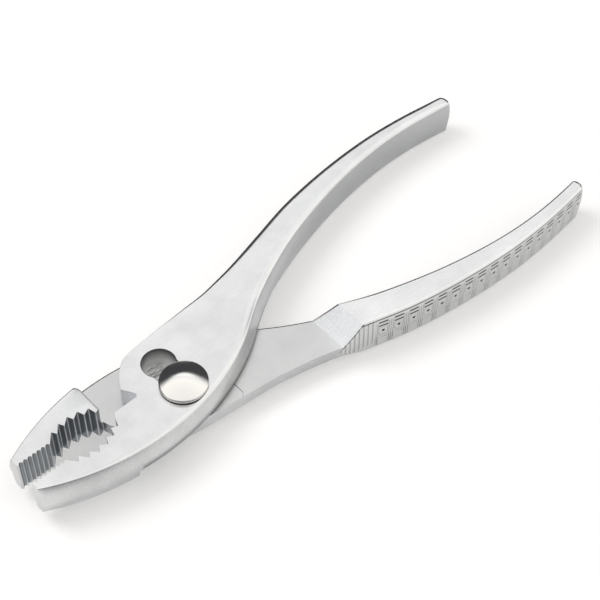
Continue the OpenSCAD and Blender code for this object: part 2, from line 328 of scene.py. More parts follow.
def half_outline(reach):
    """The half in plan, anticlockwise from the jaw's tip. Each row holds u, v, edge radius,
    side crown, width and fall of the shoulder, stamping, parting line, lap edge, machining
    (1 for teeth, 2 for plain cuts) and the share of painted highlight on the crest of a tooth."""
    rows = []

    def add(points, edge, crown=0.0, shoulder=0.02, fall=0.045,
            stamp=0.0, seam=0.0, lap=0.0, milled=0.0, crest=0.0):
        points = np.array(points, float)
        values = (edge, crown, shoulder, fall, stamp, seam, lap, milled, crest)
        columns = [np.broadcast_to(np.asarray(value, float), len(points)) for value in values]
        rows.extend(np.column_stack([points] + columns))

    # the fine ribs at the tip, and the roots and crests of the pipe grip
    last_root = first_root + (root_count - 1) * root_step
    grip_end = -(step_ahead - grip_land)
    grip_centre = np.array([grip_end - polar(grip_r, last_root)[0], -grip_r / 14.5])
    fine_end = np.array([polar(grip_r, first_root)[0] + grip_centre[0] - 1.4 * tooth_h, face_rise])
    fine_count = int((jaw_reach + fine_end[0]) / fine_pitch - 0.2)
    fine_start = fine_end - np.array([fine_count * fine_pitch, 0])
    groove_half = (fine_pitch - fine_land) / 2
    groove = np.linspace(-1, 1, 9)
    ribs = [fine_start + [(i + 0.5) * fine_pitch + groove_half * t, fine_depth * (1 - t * t)]
            for i in range(fine_count) for t in groove]
    # each rib's share of painted highlight, full on its crests
    rib_crest_highlights = [0.08 + 0.85 * t**6 for i in range(fine_count) for t in groove]
    teeth = []
    for i in range(root_count):
        teeth.append(grip_centre + polar(grip_r, first_root + i * root_step))
        if i < root_count - 1:
            teeth.append(grip_centre + polar(grip_r - tooth_h, first_crest + i * crest_step))

    # the heel of the grip, the wire cutter's notch and the plate's round end
    heel = [np.array([-0.934 * step_ahead, 0.79 * face_rise]),
            np.array([-0.892 * step_ahead, 0.60 * face_rise])]
    shear = heel[1][1] - tooth_h / 15
    lobe_centre = lobe_r * np.array([0.07, 0.387])
    lobe = [lobe_centre + lobe_r * np.array([math.cos(a), math.sin(a)])
            for a in np.radians(np.linspace(201, 239, 26))]
    notch = [np.array([lobe[0][0] + notch_depth * 0.82, shear]),
             lobe[0] + notch_depth * np.array([1, 1.36])]

    sharp = 0.05
    add([(tip_u, face_rise + 0.22)], sharp)
    add(ribs, sharp, milled=1.0, crest=rib_crest_highlights)
    grip = soften([fine_end] + teeth + heel[:1], 0.1, 0.34)
    add(grip, sharp, milled=1.0, crest=[0.5] + [0, 0.7, 1, 0.7, 0] * len(teeth) + [0.5])
    add(soften([heel[0], heel[1], notch[0], notch[1], lobe[0]], 0.14)[1:-1], sharp, milled=2.0)
    add(lobe[1:], 0.12, milled=2.0)

    # from the round end along the plate's outer edge to the neck
    foot = np.array([lobe[-1], (-0.225 * lobe_r, -0.518 * lobe_r), (0.18 * lobe_r, -0.565 * lobe_r),
                     (12.9, -8.95), (neck_behind, outer_edge(neck_behind, reach)),
                     (27.0, outer_edge(27.0, reach))])
    us = np.linspace(foot[0, 0], neck_behind, 30)[1:-1]
    grow = part_way(us / neck_behind)
    add(np.column_stack([us, through_points(foot[:, 0], foot[:, 1], us)]),
        0.12 + 0.08 * grow, 0.45 * grow, 0.02 + 0.34 * grow, 0.045 + 0.285 * grow, lap=1.0)

    # the handle's outer edge, finely divided where it is stamped
    def middles(kind):
        pitch, count = stamping_sizes[kind + " Pitch"], int(stamping_sizes[kind + " Count"])
        return stamping_sizes[kind + " Start"] + pitch * (np.arange(count)[:, None] + 0.5)

    end_u = reach - end_w
    ribs_at, cells_at = middles("Rib"), middles("Cell")
    rib_marks = np.array([-0.45, -0.3, -0.2, -0.1, 0, 0.1, 0.2, 0.3, 0.45])
    cell_marks = np.array([0.07, 0.2, 0.34, 0.5, 0.75, 1.0, 1.07, 1.14, 1.21, 1.28,
                           1.38, 1.47, 1.55, 1.63, 1.73, 1.91, 2.01])
    us = np.concatenate([np.linspace(neck_behind, ramp_behind - 2, 18, endpoint=False),
                         (ribs_at + rib_marks).ravel(),
                         (cells_at + cell_marks).ravel(), (cells_at - cell_marks).ravel(),
                         (cells_at - stamping_sizes["Cell Pitch"] / 2).ravel(), [end_u]])
    us = np.sort(np.append(us[us <= end_u], [ramp_behind, ramp_top]))
    us = us[np.append(True, np.diff(us) > 0.02)]
    ease = part_way((us - neck_behind) / (ramp_behind - neck_behind))
    taper = part_way((us - end_u + 6) / 6)
    stamp = part_way((us - ramp_behind + 1.4) / 1.0) * part_way((reach - 1.2 - us) / 1.2)
    add(np.column_stack([us, outer_edge(us, reach)]), 0.2 + 0.15 * ease,
        side_crown * station(us, reach, 4), 0.36 + 0.5 * ease - 0.3 * taper, 0.33, stamp,
        lap=(us < ramp_behind) * 1.0)

    # the rounded end
    vi, vo = inner_edge(end_u, reach), outer_edge(end_u, reach)
    slope = (outer_edge(reach, reach) + inner_edge(reach, reach) - vi - vo) / 2 / end_w
    last_angle = 84
    for a in np.linspace(-last_angle, last_angle, 25):
        across, along = polar(1, a)
        u = end_u + end_w * along
        done = (a + last_angle) / (2 * last_angle)
        add([(u, (vi + vo) / 2 + slope * (u - end_u) + (vi - vo) / 2 * across)],
            0.35 + 0.3 * done, 0.05, 0.56 - 0.38 * done, 0.33 - 0.285 * done)

    # the handle's inner edge, back to the neck
    us = np.append(np.linspace(end_u, neck_behind, 110), [ramp_behind, ramp_top])
    us = np.sort(us)[::-1]
    near = part_way((ramp_behind + 4 - us) / 8)
    taper = part_way((us - end_u + 6) / 6)
    add(np.column_stack([us, inner_edge(us, reach)]), edge_r - 0.15 * taper,
        side_crown * station(us, reach, 3), 0.6 - 0.42 * taper, seam=near,
        lap=(us < ramp_behind) * 1.0)

    # the back of the plate and of the jaw
    us = np.linspace(neck_behind, tip_u, 80)[1:]
    add(np.column_stack([us, back_at(us)]),
        0.14 + 0.2 * part_way((us + 40) / 18) + (edge_r - 0.34) * part_way((us + 14) / 18),
        side_crown * (1 + 0.15 * part_way(us / neck_behind)),
        np.clip(0.2 + (us + 25) * 0.05, 0.2, 0.9), seam=part_way((us - 2) / 8),
        lap=(us > -step_ahead) * 1.0)
    add([(tip_u, v) for v in np.linspace(face_rise + tip_w - 0.4, face_rise + 0.3, 4)], 0.12)
    return np.array(rows)


def bulge(z):
    """The forged side's bulge at a height: 1 half way up, 0 at both faces."""
    return np.maximum(0, 1 - ((z - mid_z) / ((top_z - side_z) / 2))**2)


def smoothed(mesh, degrees=33):
    """Shades the mesh smooth, apart from edges sharper than the angle."""
    mesh.polygons.foreach_set("use_smooth", [True] * len(mesh.polygons))
    mesh.set_sharp_from_angle(angle=math.radians(degrees))


# The forging's finishes, by their place in its list of materials.
ground, forged, broached, cast, milled_flat, slot_wall = range(6)


def forging(name, reach, upper):
    """The whole forging, still full thickness at the lap: levels of the outline, one above
    the other, with both edges rounded, the sides crowned and a faint parting line."""
    rows = half_outline(reach)
    u, v, edge, crown, shoulder, fall, stamp, seam, lap, milled, crest = rows.T
    points = rows[:, :2]
    ahead = np.roll(points, -1, 0) - points
    ahead /= np.linalg.norm(ahead, axis=1)[:, None]
    normals = np.column_stack([ahead[:, 1], -ahead[:, 0]])
    normals = normals + np.roll(normals, 1, 0)
    length = np.linalg.norm(normals, axis=1)
    normals = normals / length[:, None] * np.minimum(2 / length, 1.6)[:, None]
    past_ramp = part_way((u - ramp_behind) / (ramp_top - ramp_behind))
    low = handle_z + (side_z - handle_z) * part_way((ramp_top - u) / (ramp_top - ramp_behind))
    nick_z = lap_z if upper else lap_z - run_gap
    nick = 0.23 if upper else 0.13
    nose = end_crown * np.clip((u - reach) / end_w + 2, 0, 2) / 2
    if upper:
        by_ramp, crevice_shaded = 0, lap * part_way((34 - u) / 8)
    else:
        inner = normals[:, 1] > 0
        by_ramp = inner * part_way((u - 30) / 6) * part_way((ramp_top + 9 - u) / 8)
        edge, shoulder = edge - 0.45 * by_ramp, shoulder - 0.35 * by_ramp
        shoulder = shoulder * (1 - 0.75 * ~inner * part_way((u - ramp_behind) / 5))
        lap, crevice_shaded = lap * (1 + 1.8 * inner), lap * inner
    drop = shoulder * fall

    # Each level: how far it lies inside the outline, its height, its share of the stamping,
    # the polish of the edge, and its share of painted shade by the lap's crevice. The levels by
    # the lap, with the nick that breaks its edge and the parting line, spread out along the
    # ramp to those that the grip needs.
    turns = (88, 75, 60, 45, 30, 15)
    flats = 3
    levels = [(edge * 1.15 + shoulder, low, 0, 0, 0), (edge + shoulder, low, 0, 0, 0),
              (edge + shoulder * 0.45, low + drop * 0.4, 0, 0.5, 0)]
    for a in turns:
        s, c = math.sin(math.radians(a)), math.cos(math.radians(a))
        levels.append((edge * (1 - c), low + drop + edge * (1 - s), min(1, (90 - a) / 45), 1, 0))
    foot, brow = low + drop + edge, top_z - drop - edge
    below_nick = 17
    at_lap = [(0 * u, foot + (nick_z - nick - foot) * t)
              for t in np.linspace(0, 1, below_nick + 1)[:-1]]
    at_lap += [(nick * lap * depth, nick_z + up + 0 * u)
               for up, depth in ((-nick, 0), (-0.01, 1), (0.01, 1), (nick, 0))]
    seam_half = 0.14
    at_lap += [(0.1 * seam * depth, mid_z + up + 0 * u)
               for up, depth in ((-seam_half, 0), (0, 1), (seam_half, 0))]
    at_lap += [(0 * u, mid_z + seam_half + (brow - mid_z - seam_half) * t)
               for t in np.linspace(0, 1, 23)[1:]]
    stamped_rows = ((-2.7, 0.1), (-1.9, 0.1), (-1.2, 0.07), (1.2, 0.07), (1.95, 0.15),
                    (3.2, 0.15), (4.4, 0.11))
    at_grip = sorted([-3.6, -0.5, -0.34, -0.2, -0.07, 0.07, 0.2, 0.34, 0.5]
                     + [row + step * k for k in (-2, -1, 0, 1, 2) for row, step in stamped_rows])
    at_grip = [handle_z + stamping_sizes["Middle Height"] + up for up in at_grip]
    at_grip = [np.minimum(up, brow - 0.03 * (len(at_grip) - k)) for k, up in enumerate(at_grip)]
    at_grip = [foot] + at_grip + [brow]
    # painted shade by the lap's crevice: darkest in the crevice, then fading up the side wall
    crevice_shade_share = [0.7, 1.0, 1.0, 0.7, 0.48, 0.44, 0.4, 0.34, 0.26, 0.16, 0.06]
    crevice_shade_share = [0.0] * below_nick + crevice_shade_share + [0.0] * (len(at_lap) - below_nick - len(crevice_shade_share))
    for (inset, z), grip_level, amount in zip(at_lap, at_grip, crevice_shade_share, strict=True):
        levels.append((inset, z + (grip_level - z) * past_ramp, 1, 0, amount * crevice_shaded))
    for a in turns[::-1]:
        s, c = math.sin(math.radians(a)), math.cos(math.radians(a))
        levels.append((edge * (1 - c), top_z - drop - edge * (1 - s), 1, 1, 0))
    levels += [(edge + shoulder * 0.45, top_z - drop * 0.4, 0, 0.5, 0),
               (edge + shoulder, top_z + 0 * u, 0, 0, 0),
               (edge * 1.15 + shoulder, top_z + 0 * u, 0, 0, 0)]

    # the corners of each level; by the ramp the side is nearly plain instead of bulging
    count = len(u)
    places, stamps = [], []
    for inset, z, face, _, _ in levels:
        plain = 0.95 * part_way((top_z - z) / (top_z - lap_z))
        out = crown * (bulge(z) + by_ramp * np.minimum(plain - bulge(z), 0)) - inset
        x = np.maximum(u + normals[:, 0] * out + nose * (bulge(z) - 1),
                       tip_u + np.maximum(inset, 0))
        y = v + normals[:, 1] * out
        places.append(np.column_stack([x, y, z + 0 * u]))
        stamps.append(stamp * face * part_way((brow + 0.15 - z) / 0.15))
    places, stamps = np.concatenate(places), np.concatenate(stamps)

    faces, kinds = [], []
    rounded = flats + len(turns)
    for k in range(len(levels) - 1):
        for i in range(count):
            j = (i + 1) % count
            faces.append((k * count + i, k * count + j, (k + 1) * count + j, (k + 1) * count + i))
            cut = min(milled[i], milled[j])
            if not rounded <= k < len(levels) - rounded:
                kinds.append(ground)
            elif cut == 2 and upper:
                kinds.append(cast)
            else:
                kinds.append(broached if cut else forged)

    def cap(ring, base, flip):
        """Closes a run of corners of the level that starts at base with flat triangles."""
        corners = [Vector((*places[base + i][:2], 0)) for i in ring]
        for triangle in tessellate_polygon([corners]):
            a, b, c = (base + ring[t] for t in triangle)
            area = np.cross(places[b][:2] - places[a][:2], places[c][:2] - places[a][:2])
            if abs(area) < 1e-9:
                continue
            faces.append((a, b, c) if (area > 0) != flip else (a, c, b))
            kinds.append(ground)

    def index_of(value, first):
        """The corner at u = value: the first is on the outer edge, the last on the inner one."""
        found = np.flatnonzero(np.abs(u - value) < 1e-6)
        return int(found[0] if first else found[-1])

    o1, i1 = index_of(ramp_behind, True), index_of(ramp_behind, False)
    o2, i2 = index_of(ramp_top, True), index_of(ramp_top, False)
    whole = list(range(count))
    cap(whole, (len(levels) - 1) * count, False)
    cap(whole[:o1 + 1] + whole[i1:], 0, True)
    cap(whole[o1:o2 + 1] + whole[i2:i1 + 1], 0, True)
    cap(whole[o2:i2 + 1], 0, True)

    mesh = bpy.data.meshes.new(name)
    mesh.from_pydata(places.tolist(), [], faces)
    mesh.polygons.foreach_set("material_index", kinds)
    polishes = np.repeat([level[3] for level in levels], count)
    crest_highlights = np.tile(crest, len(levels))
    painted_crevice_shades = np.concatenate([level[4] + 0 * u for level in levels])
    named_values = {"along": places[:, 0], "up": places[:, 2] - handle_z, "stamp": stamps,
                    "polish": polishes, "crest": crest_highlights, "grime": painted_crevice_shades}
    for label, values in named_values.items():
        mesh.attributes.new(label, "FLOAT", "POINT").data.foreach_set("value", values)
    outwards = np.tile(np.column_stack([normals, 0 * u]), (len(levels), 1)).ravel()
    mesh.attributes.new("outwards", "FLOAT_VECTOR", "POINT").data.foreach_set("vector", outwards)
    return in_scene(name, mesh)


# What the plate's colour turns to: edges that the wheel wore bright, brushed hairlines, bare
# steel and bright scratches, painted shade on the sides towards the handles, the slot's
# shaded wall, and painted shade in the crevices.
worn_edge, hairline = (0.86, 0.865, 0.865, 1), (0.5, 0.505, 0.505, 1)
bare_steel, bright_scratch = (0.3, 0.3, 0.305, 1), (0.98, 0.98, 0.98, 1)
# the colours of the painted shade on the sides towards the handles, and on the slot's wall
handle_shade_colour, wall_shade = (0.36, 0.37, 0.385, 1), (0.11, 0.115, 0.12, 1)
# the colour of the painted shade in the crevices
crevice_shade_colour = (0.05, 0.05, 0.052, 1)


def plated(name, colour, roughness, mottle, grain, pitting=0.0, grain_size=0.5, metal=1.0,
           brushed=0.0, recess=None, crest=None, worn=None, grime=(), painted_handle_shade=False, shaded=None):
    """Plated steel: a faint cloudiness, a fine grain in roughness and height, shallow pits and
    edges that the polishing wheel has left brighter. Stamped hollows get painted shade, the
    crests of the teeth get a painted highlight, a worn round spot shows darker, scratched metal,
    and painted shade sits in the crevices and between the heights that are given for it. The
    forged sides get painted shade that grows darker towards the handles, and a wall can be
    shaded from one height up to another. The places and heights are in metres."""
    material, wire = fresh_material(name)
    place = wire.node("ShaderNodeTexCoord", out="Object")

    def noise(scale, detail=2.0, coarseness=0.6, vector=place):
        return wire.node("ShaderNodeTexNoise", sockets={
            "Vector": vector, "Scale": scale, "Detail": detail, "Roughness": coarseness})

    def attribute(label):
        return wire.node("ShaderNodeAttribute", {"attribute_name": label}, out="Fac")

    clouds = noise(130.0, 3.0, 0.55) * 0.6 + noise(30.0, 1.0, 0.5) * 0.4
    fine, specks = noise(1000.0 / grain_size), noise(700.0, 1.0, 0.5)
    dark = tuple(c * (1 - mottle) for c in colour) + (1,)
    light = tuple(min(1, c * (1 + mottle)) for c in colour) + (1,)
    cloudiness = (clouds - 0.3) / 0.4 + (fine - 0.5) * grain * 5
    shade = wire.blend(cloudiness.limited(), dark, light)
    polish = attribute("polish")
    shade = wire.blend(polish * 0.4, shade, worn_edge)
    roughness = roughness + (fine - 0.5) * 0.14 + (clouds - 0.5) * 0.1 - polish * 0.12
    relief = (fine - 0.5) * grain - ((0.34 - specks) * 8).limited() * pitting
    if brushed:
        lengthwise = wire.node("ShaderNodeMapping", sockets={"Vector": place, "Scale": (0.1, 1, 1)})
        hairs = noise(2200.0, 2.0, 0.6, lengthwise) - 0.5
        relief = relief + hairs * brushed
        roughness = roughness + hairs * 0.25 * brushed
        shade = wire.blend((hairs * brushed * 2 + 0.04).limited(), shade, hairline)
    # painted shade in the stamped hollows, darker with their depth
    if recess:
        shade = wire.blend(((attribute("recess") - 0.05) / 0.13).limited(), shade, recess + (1,))
    # painted highlight on the crests of the teeth
    if crest:
        shade = wire.blend(attribute("crest"), shade, crest + (1,))
    if worn:
        x, y, radius = worn
        in_plan = wire.node("ShaderNodeVectorMath", {"operation": "MULTIPLY"},
                            {0: place, 1: (1, 1, 0)})
        away = wire.node("ShaderNodeVectorMath", {"operation": "DISTANCE"},
                         {0: in_plan, 1: (x, y, 0)}, out="Value")
        spot = ((radius - away) / 0.0006).limited()
        stretched = wire.node("ShaderNodeMapping", sockets={
            "Vector": place, "Rotation": (0, 0, 0.6), "Scale": (1, 6, 1)})
        strokes = noise(420.0, 4.0, 0.7, stretched)
        scratched = wire.blend(((strokes - 0.38) * 5).limited(), bare_steel, bright_scratch)
        shade = wire.blend(spot, shade, scratched)
        relief = relief + (strokes - 0.5) * spot * 0.6
        metal = metal - spot * 0.7
    # painted shade on the forged sides, growing darker towards the handles
    if painted_handle_shade:
        shade = wire.blend((attribute("along") / 55).limited() * 0.55, shade, handle_shade_colour)
    height = wire.node("ShaderNodeSeparateXYZ", sockets={0: place}, out="Z")
    if shaded:
        low, high = shaded
        shade = wire.blend(((height - low) / (high - low)).limited(), shade, wall_shade)
    # painted shade: from each corner's share, and between the given heights
    crevice_shade_share = attribute("grime")
    for low, high in grime:
        crevice_shade_share = crevice_shade_share + ((high - height) / 0.0001).limited() * (height > low)
    shade = wire.blend(crevice_shade_share.limited(), shade, crevice_shade_colour)
    bump = wire.node("ShaderNodeBump", sockets={
        "Strength": 1.0, "Distance": 0.00004, "Height": relief})
    finish = wire.node("ShaderNodeBsdfPrincipled", sockets={
        "Base Color": shade, "Metallic": metal, "Roughness": roughness, "Normal": bump})
    wire.node("ShaderNodeOutputMaterial", sockets={"Surface": finish})
    return material


def grip_stamping(material):
    """The stamped grip: cells with a pit in the middle, two rows of dashes above it and two
    below, ribs between the cells and a run of plain ribs by the ramp."""
    tree = bpy.data.node_groups.new("grip_stamping", "GeometryNodeTree")
    tree.interface.new_socket("Geometry", in_out="OUTPUT", socket_type="NodeSocketGeometry")
    tree.interface.new_socket("Geometry", in_out="INPUT", socket_type="NodeSocketGeometry")
    for label in (*stamping_sizes, "Ramp Foot", "Ramp Height", "Ramp Slope", "Ramp Scale"):
        tree.interface.new_socket(label, in_out="INPUT", socket_type="NodeSocketFloat")
    wire = Wire(tree)
    given = tree.nodes.new("NodeGroupInput")
    size = {socket.name: Wire(tree, socket) for socket in given.outputs if socket.name}

    def named(label, kind="FLOAT"):
        return wire.node("GeometryNodeInputNamedAttribute", {"data_type": kind}, {"Name": label})

    def dip(x, half):
        """A round-bottomed groove of depth 1 along x = 0."""
        reach = x / half
        return wire.math("MAXIMUM", 1 - reach * reach, 0)

    def window(x, half, soft=0.15):
        """1 nearer to x = 0 than half, and 0 beyond, with a soft step between."""
        return ((half - wire.math("ABSOLUTE", x)) / soft + 0.5).limited()

    along, up, stamp = named("along"), named("up"), named("stamp")
    from_middle = up - size["Middle Height"]
    cells = (along - size["Cell Start"]) / size["Cell Pitch"]
    across = (wire.math("FRACT", cells) - 0.5) * size["Cell Pitch"]
    in_cells = (cells > 0) * (cells < size["Cell Count"])
    edge_of_cell = size["Cell Pitch"] / 2 - wire.math("ABSOLUTE", across)
    ribs = dip(edge_of_cell, 0.2) + dip(edge_of_cell - 0.56, 0.18)
    rib_height = window(from_middle + 1.4, 4.4) * (1 + 0.3 * (from_middle < -2.2))
    dashes = (dip(from_middle - 3.2, 0.33) + dip(from_middle - 1.95, 0.33)) * window(across, 1.24)
    strokes = (dip(from_middle + 1.9, 0.22) + dip(from_middle + 2.7, 0.22)) * window(across, 1.05)
    cell_side = wire.math("MAXIMUM", wire.math("ABSOLUTE", across),
                          wire.math("ABSOLUTE", from_middle * 0.95))
    frame_line = dip(cell_side - 1.14, 0.15)
    pit = dip(wire.math("SQRT", across * across + from_middle * from_middle), size["Pit Radius"])
    rows = (along - size["Rib Start"]) / size["Rib Pitch"]
    in_rows = (rows > 0) * (rows < size["Rib Count"])
    ramp_line = (along - size["Ramp Foot"]) * size["Ramp Slope"] + size["Ramp Height"]
    below_ramp = (ramp_line - up) * size["Ramp Scale"]
    clear = ((below_ramp - 0.5) / 0.4).limited()
    row_rib = dip((wire.math("FRACT", rows) - 0.5) * size["Rib Pitch"], 0.32)
    row_ribs = clear * row_rib * window(from_middle + 0.5, 4.9, 0.6)
    in_grip = wire.math("MINIMUM", in_cells + in_rows, 1)
    top_line = (dip(from_middle - 4.4, 0.24) * in_grip * (below_ramp > 0.4)
                + dip(below_ramp - 0.36, 0.22) * in_rows)
    shallow = (in_cells * (ribs * rib_height + frame_line + strokes * 1.5)
               + in_rows * row_ribs) * size["Groove Depth"]
    deep = (in_cells * (dashes * size["Dash Depth"] + pit * size["Pit Depth"])
            + top_line * size["Dash Depth"] * 0.8)
    lift = (size["Land Height"] - (shallow + deep)) * stamp
    offset = wire.node("ShaderNodeVectorMath", {"operation": "SCALE"},
                       {0: named("outwards", "FLOAT_VECTOR"), "Scale": lift})
    moved = wire.node("GeometryNodeSetPosition", sockets={
        "Geometry": size["Geometry"], "Offset": offset})
    # the hollows' depth, kept for the painted shade that the finish puts in them
    kept = wire.node("GeometryNodeStoreNamedAttribute", {"data_type": "FLOAT", "domain": "POINT"},
                     {"Geometry": moved, "Name": "recess", "Value": (deep + shallow * 0.6) * stamp})
    real = wire.node("GeometryNodeRealizeInstances", sockets={"Geometry": kept})
    finished = wire.node("GeometryNodeSetMaterial", sockets={
        "Geometry": real, "Selection": stamp > 0.5, "Material": material})
    wire.node("NodeGroupOutput", sockets={"Geometry": finished})
    return tree


def as_plain_mesh(piece):
    """Puts the evaluated shape in the piece's own mesh and takes its modifiers off."""
    bpy.context.view_layer.update()
    depsgraph = bpy.context.evaluated_depsgraph_get()
    mesh = bpy.data.meshes.new_from_object(piece.evaluated_get(depsgraph), depsgraph=depsgraph)
    piece.modifiers.clear()
    piece.data = mesh


def stamped(piece, tree, sizes):
    """Presses the grip into the piece's outer side."""
    modifier = piece.modifiers.new("stamping", "NODES")
    modifier.node_group = tree
    for item in tree.interface.items_tree:
        if item.in_out == "INPUT" and item.name in sizes:
            modifier[item.identifier] = sizes[item.name]
    as_plain_mesh(piece)


def prism(name, levels, kind=None, along="z"):
    """A straight-sided solid, mostly a cutter, through its levels: (height, outline) each, or
    with along "y" (place across the half, outline in side view). Where kind is given, its
    faces leave that one of the forging's finishes."""
    count, top = len(levels[0][1]), (len(levels) - 1)
    places = [((a, b, at) if along == "z" else (a, at, b)) for at, line in levels for a, b in line]
    faces = [(k * count + i, k * count + (i + 1) % count,
              (k + 1) * count + (i + 1) % count, (k + 1) * count + i)
             for k in range(top) for i in range(count)]
    faces += [tuple(range(count))[::-1], tuple(range(top * count, (top + 1) * count))]
    mesh = bpy.data.meshes.new(name)
    mesh.from_pydata(places, [], faces)
    if kind is not None:
        for finish in forging_finishes:
            mesh.materials.append(finish)
        mesh.polygons.foreach_set("material_index", [kind] * len(faces))
    work = bmesh.new()
    work.from_mesh(mesh)
    bmesh.ops.recalc_face_normals(work, faces=work.faces)
    work.to_mesh(mesh)
    work.free()
    return in_scene(name, mesh)


def straight(outline, low, high):
    """The levels of a prism with the same outline at both ends."""
    return [(low, outline), (high, outline)]


def machined(piece, cutters, operation="DIFFERENCE"):
    """Cuts the piece and closes the pinholes that the cuts leave where their corners meet."""
    for cutter in cutters:
        modifier = piece.modifiers.new("cut", "BOOLEAN")
        modifier.operation = operation
        modifier.solver = "EXACT"
        modifier.object = cutter
    as_plain_mesh(piece)
    for cutter in cutters:
        bpy.data.objects.remove(cutter)
    work = bmesh.new()
    work.from_mesh(piece.data)
    bmesh.ops.remove_doubles(work, verts=work.verts, dist=0.004)
    bmesh.ops.dissolve_degenerate(work, dist=0.001, edges=work.edges)
    open_edges = [edge for edge in work.edges if edge.is_boundary]
    bmesh.ops.holes_fill(work, edges=open_edges, sides=0)
    idle_corners = [corner for corner in work.verts if len(corner.link_edges) == 2]
    bmesh.ops.dissolve_verts(work, verts=idle_corners)
    work.to_mesh(piece.data)
    work.free()


def lap_profile(upper):
    """The lap's cut from the side: step and plate; the step's visible edge is broken."""
    level, face, away = (lap_z, side_z, -1) if upper else (lap_z - run_gap, top_z, 1)
    broken_u = -step_ahead - 0.35
    return [(-step_ahead, level), (ramp_behind, level), (ramp_behind, face + 2 * away),
            (broken_u, face + 2 * away), (broken_u, face), (-step_ahead, face - 0.12 * away)]


def ramp_profile(upper):
    """The slope from the plate up to the full handle, from the side."""
    level, face, away = (lap_z, handle_z, -1) if upper else (lap_z - run_gap, top_z, 1)
    slope = (face - level) / (ramp_top - ramp_behind)
    foot, past = level + 0.004 * away, 0.6
    return [(ramp_behind - 1, foot), (ramp_behind, foot), (ramp_top, face),
            (ramp_top + past, face + past * slope), (ramp_behind - 1, face + past * slope)]


def step_corner(inset=0.0):
    """What lies outside the jaw's rounded corner at the step, in plan."""
    corner = float(back_at(-step_ahead)) + side_crown / 3
    middle_u, middle_v = -step_ahead - step_corner_r, corner - step_corner_r
    radius = step_corner_r - inset
    arc = [(middle_u + radius * math.cos(a), middle_v + radius * math.sin(a))
           for a in np.linspace(math.radians(88), 0, 14)]
    past = 1 - step_ahead
    return [(middle_u, corner + 6), *arc, (past, middle_v), (past, corner + 6)]


def ramp_edge():
    """The narrow broken edge along the inner side of the lower half's ramp."""
    level, reach = lap_z - run_gap, bolt_handle_reach
    crown = side_crown * float(station(ramp_behind, reach, 3)) * 0.95
    low = Vector((ramp_behind, float(inner_edge(ramp_behind, reach)) + crown, level))
    top = Vector((ramp_top, float(inner_edge(ramp_top, reach)) - 0.1, top_z))
    rise = (top_z - level) / (ramp_top - ramp_behind)
    up = Vector((-rise, 0, 1)).normalized()
    way = (low - top).normalized()
    inside = up.cross(way)
    width, fall = 0.34, 0.32
    outline = [(width, 0), (width, 1), (-2, 1), (-2, -(width + 2) * fall)]
    cutter = prism("ramp edge", straight(outline, 0, (low - top).length + 0.1), ground)
    turn = Matrix((inside, up, way)).transposed().to_4x4()
    turn.translation = top
    cutter.data.transform(turn)
    return cutter


def circle(radius, count):
    """A round about the pivot, in plan."""
    angles = [2 * math.pi * k / count for k in range(count)]
    return [(radius * math.cos(a), radius * math.sin(a)) for a in angles]


def in_metres(piece):
    """The last step of each piece: its mesh goes from millimetres to metres and is shaded."""
    piece.data.transform(Matrix.Scale(0.001, 4))
    smoothed(piece.data)


worn_spot = (-0.00066, 0.00876, 0.0044)
forging_finishes = [
    plated("ground_plate", (0.81, 0.815, 0.815), roughness=0.25, mottle=0.12, grain=0.05,
           brushed=0.10),
    plated("forged_plate", (0.61, 0.615, 0.62), roughness=0.32, mottle=0.14, grain=0.22,
           pitting=0.2, painted_handle_shade=True),
    # the teeth are painted dark as shade between them, and get painted highlights on their crests
    plated("broached_plate_painted_shade", (0.24, 0.255, 0.27), roughness=0.30, mottle=0.08, grain=0.10,
           crest=(0.78, 0.805, 0.83)),
    plated("cast_plate", (0.88, 0.90, 0.93), roughness=0.70, mottle=0.09, grain=0.5,
           pitting=0.6, grain_size=0.4, metal=0.12),
    plated("milled_plate", (0.70, 0.71, 0.705), roughness=0.36, mottle=0.09, grain=0.14,
           brushed=0.05, worn=worn_spot),
    plated("slot_plate", (0.90, 0.905, 0.905), roughness=0.32, mottle=0.14, grain=0.16,
           shaded=(0.0082, 0.0122)),
]
stamping = grip_stamping(plated(
    "stamped_plate", (0.62, 0.625, 0.625), roughness=0.34, mottle=0.05, grain=0.14,
    pitting=0.1, recess=(0.05, 0.052, 0.055)))

bolt_half = forging("bolt_half_forging", bolt_handle_reach, False)
for finish in forging_finishes:
    bolt_half.data.materials.append(finish)
stamped(bolt_half, stamping, stamping_sizes | {
    "Ramp Foot": ramp_behind, "Ramp Height": lap_z - run_gap - handle_z,
    "Ramp Slope": 1.144, "Ramp Scale": 0.658})
wide, broken = 60, step_corner(1.05)
seat_line = [(11.37, -4.6), (11.37, -7.75), (10.35, -8.8),
             (10.55, -8.95), (11.6, -7.85), (11.6, -4.6)]
machined(bolt_half, [
    prism("lap", straight(lap_profile(False), -wide, wide), milled_flat, "y"),
    prism("ramp", straight(ramp_profile(False), -wide, wide), cast, "y"),
    prism("corner", [(lap_z - run_gap, step_corner()), (top_z - 0.12, step_corner()),
                     (top_z + 0.24, broken), (top_z + 2, broken)], forged),
    prism("bore", straight(circle(bolt_r + run_gap, 96), 0, top_z + 2), milled_flat),
    # the seat line's groove takes the teeth's finish: painted dark as shade
    prism("seat line", straight(seat_line, lap_z - run_gap - 0.12, lap_z + 1), broached),
    ramp_edge(),
])
in_metres(bolt_half)
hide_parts("bolt_half")
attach(bolt_half, "bolt_half")

# Slotted half: the upper forging, the mirror image of the lower one except for its lap on
# the underside and for the slot, milled as two round positions joined by a narrower channel.
slotted_handle_reach = 116.2
shift, slot_angle = 8.78, math.radians(94.3)
slot_way = shift * np.array([math.cos(slot_angle), math.sin(slot_angle)])
position_r, channel_half = 4.25, 3.6


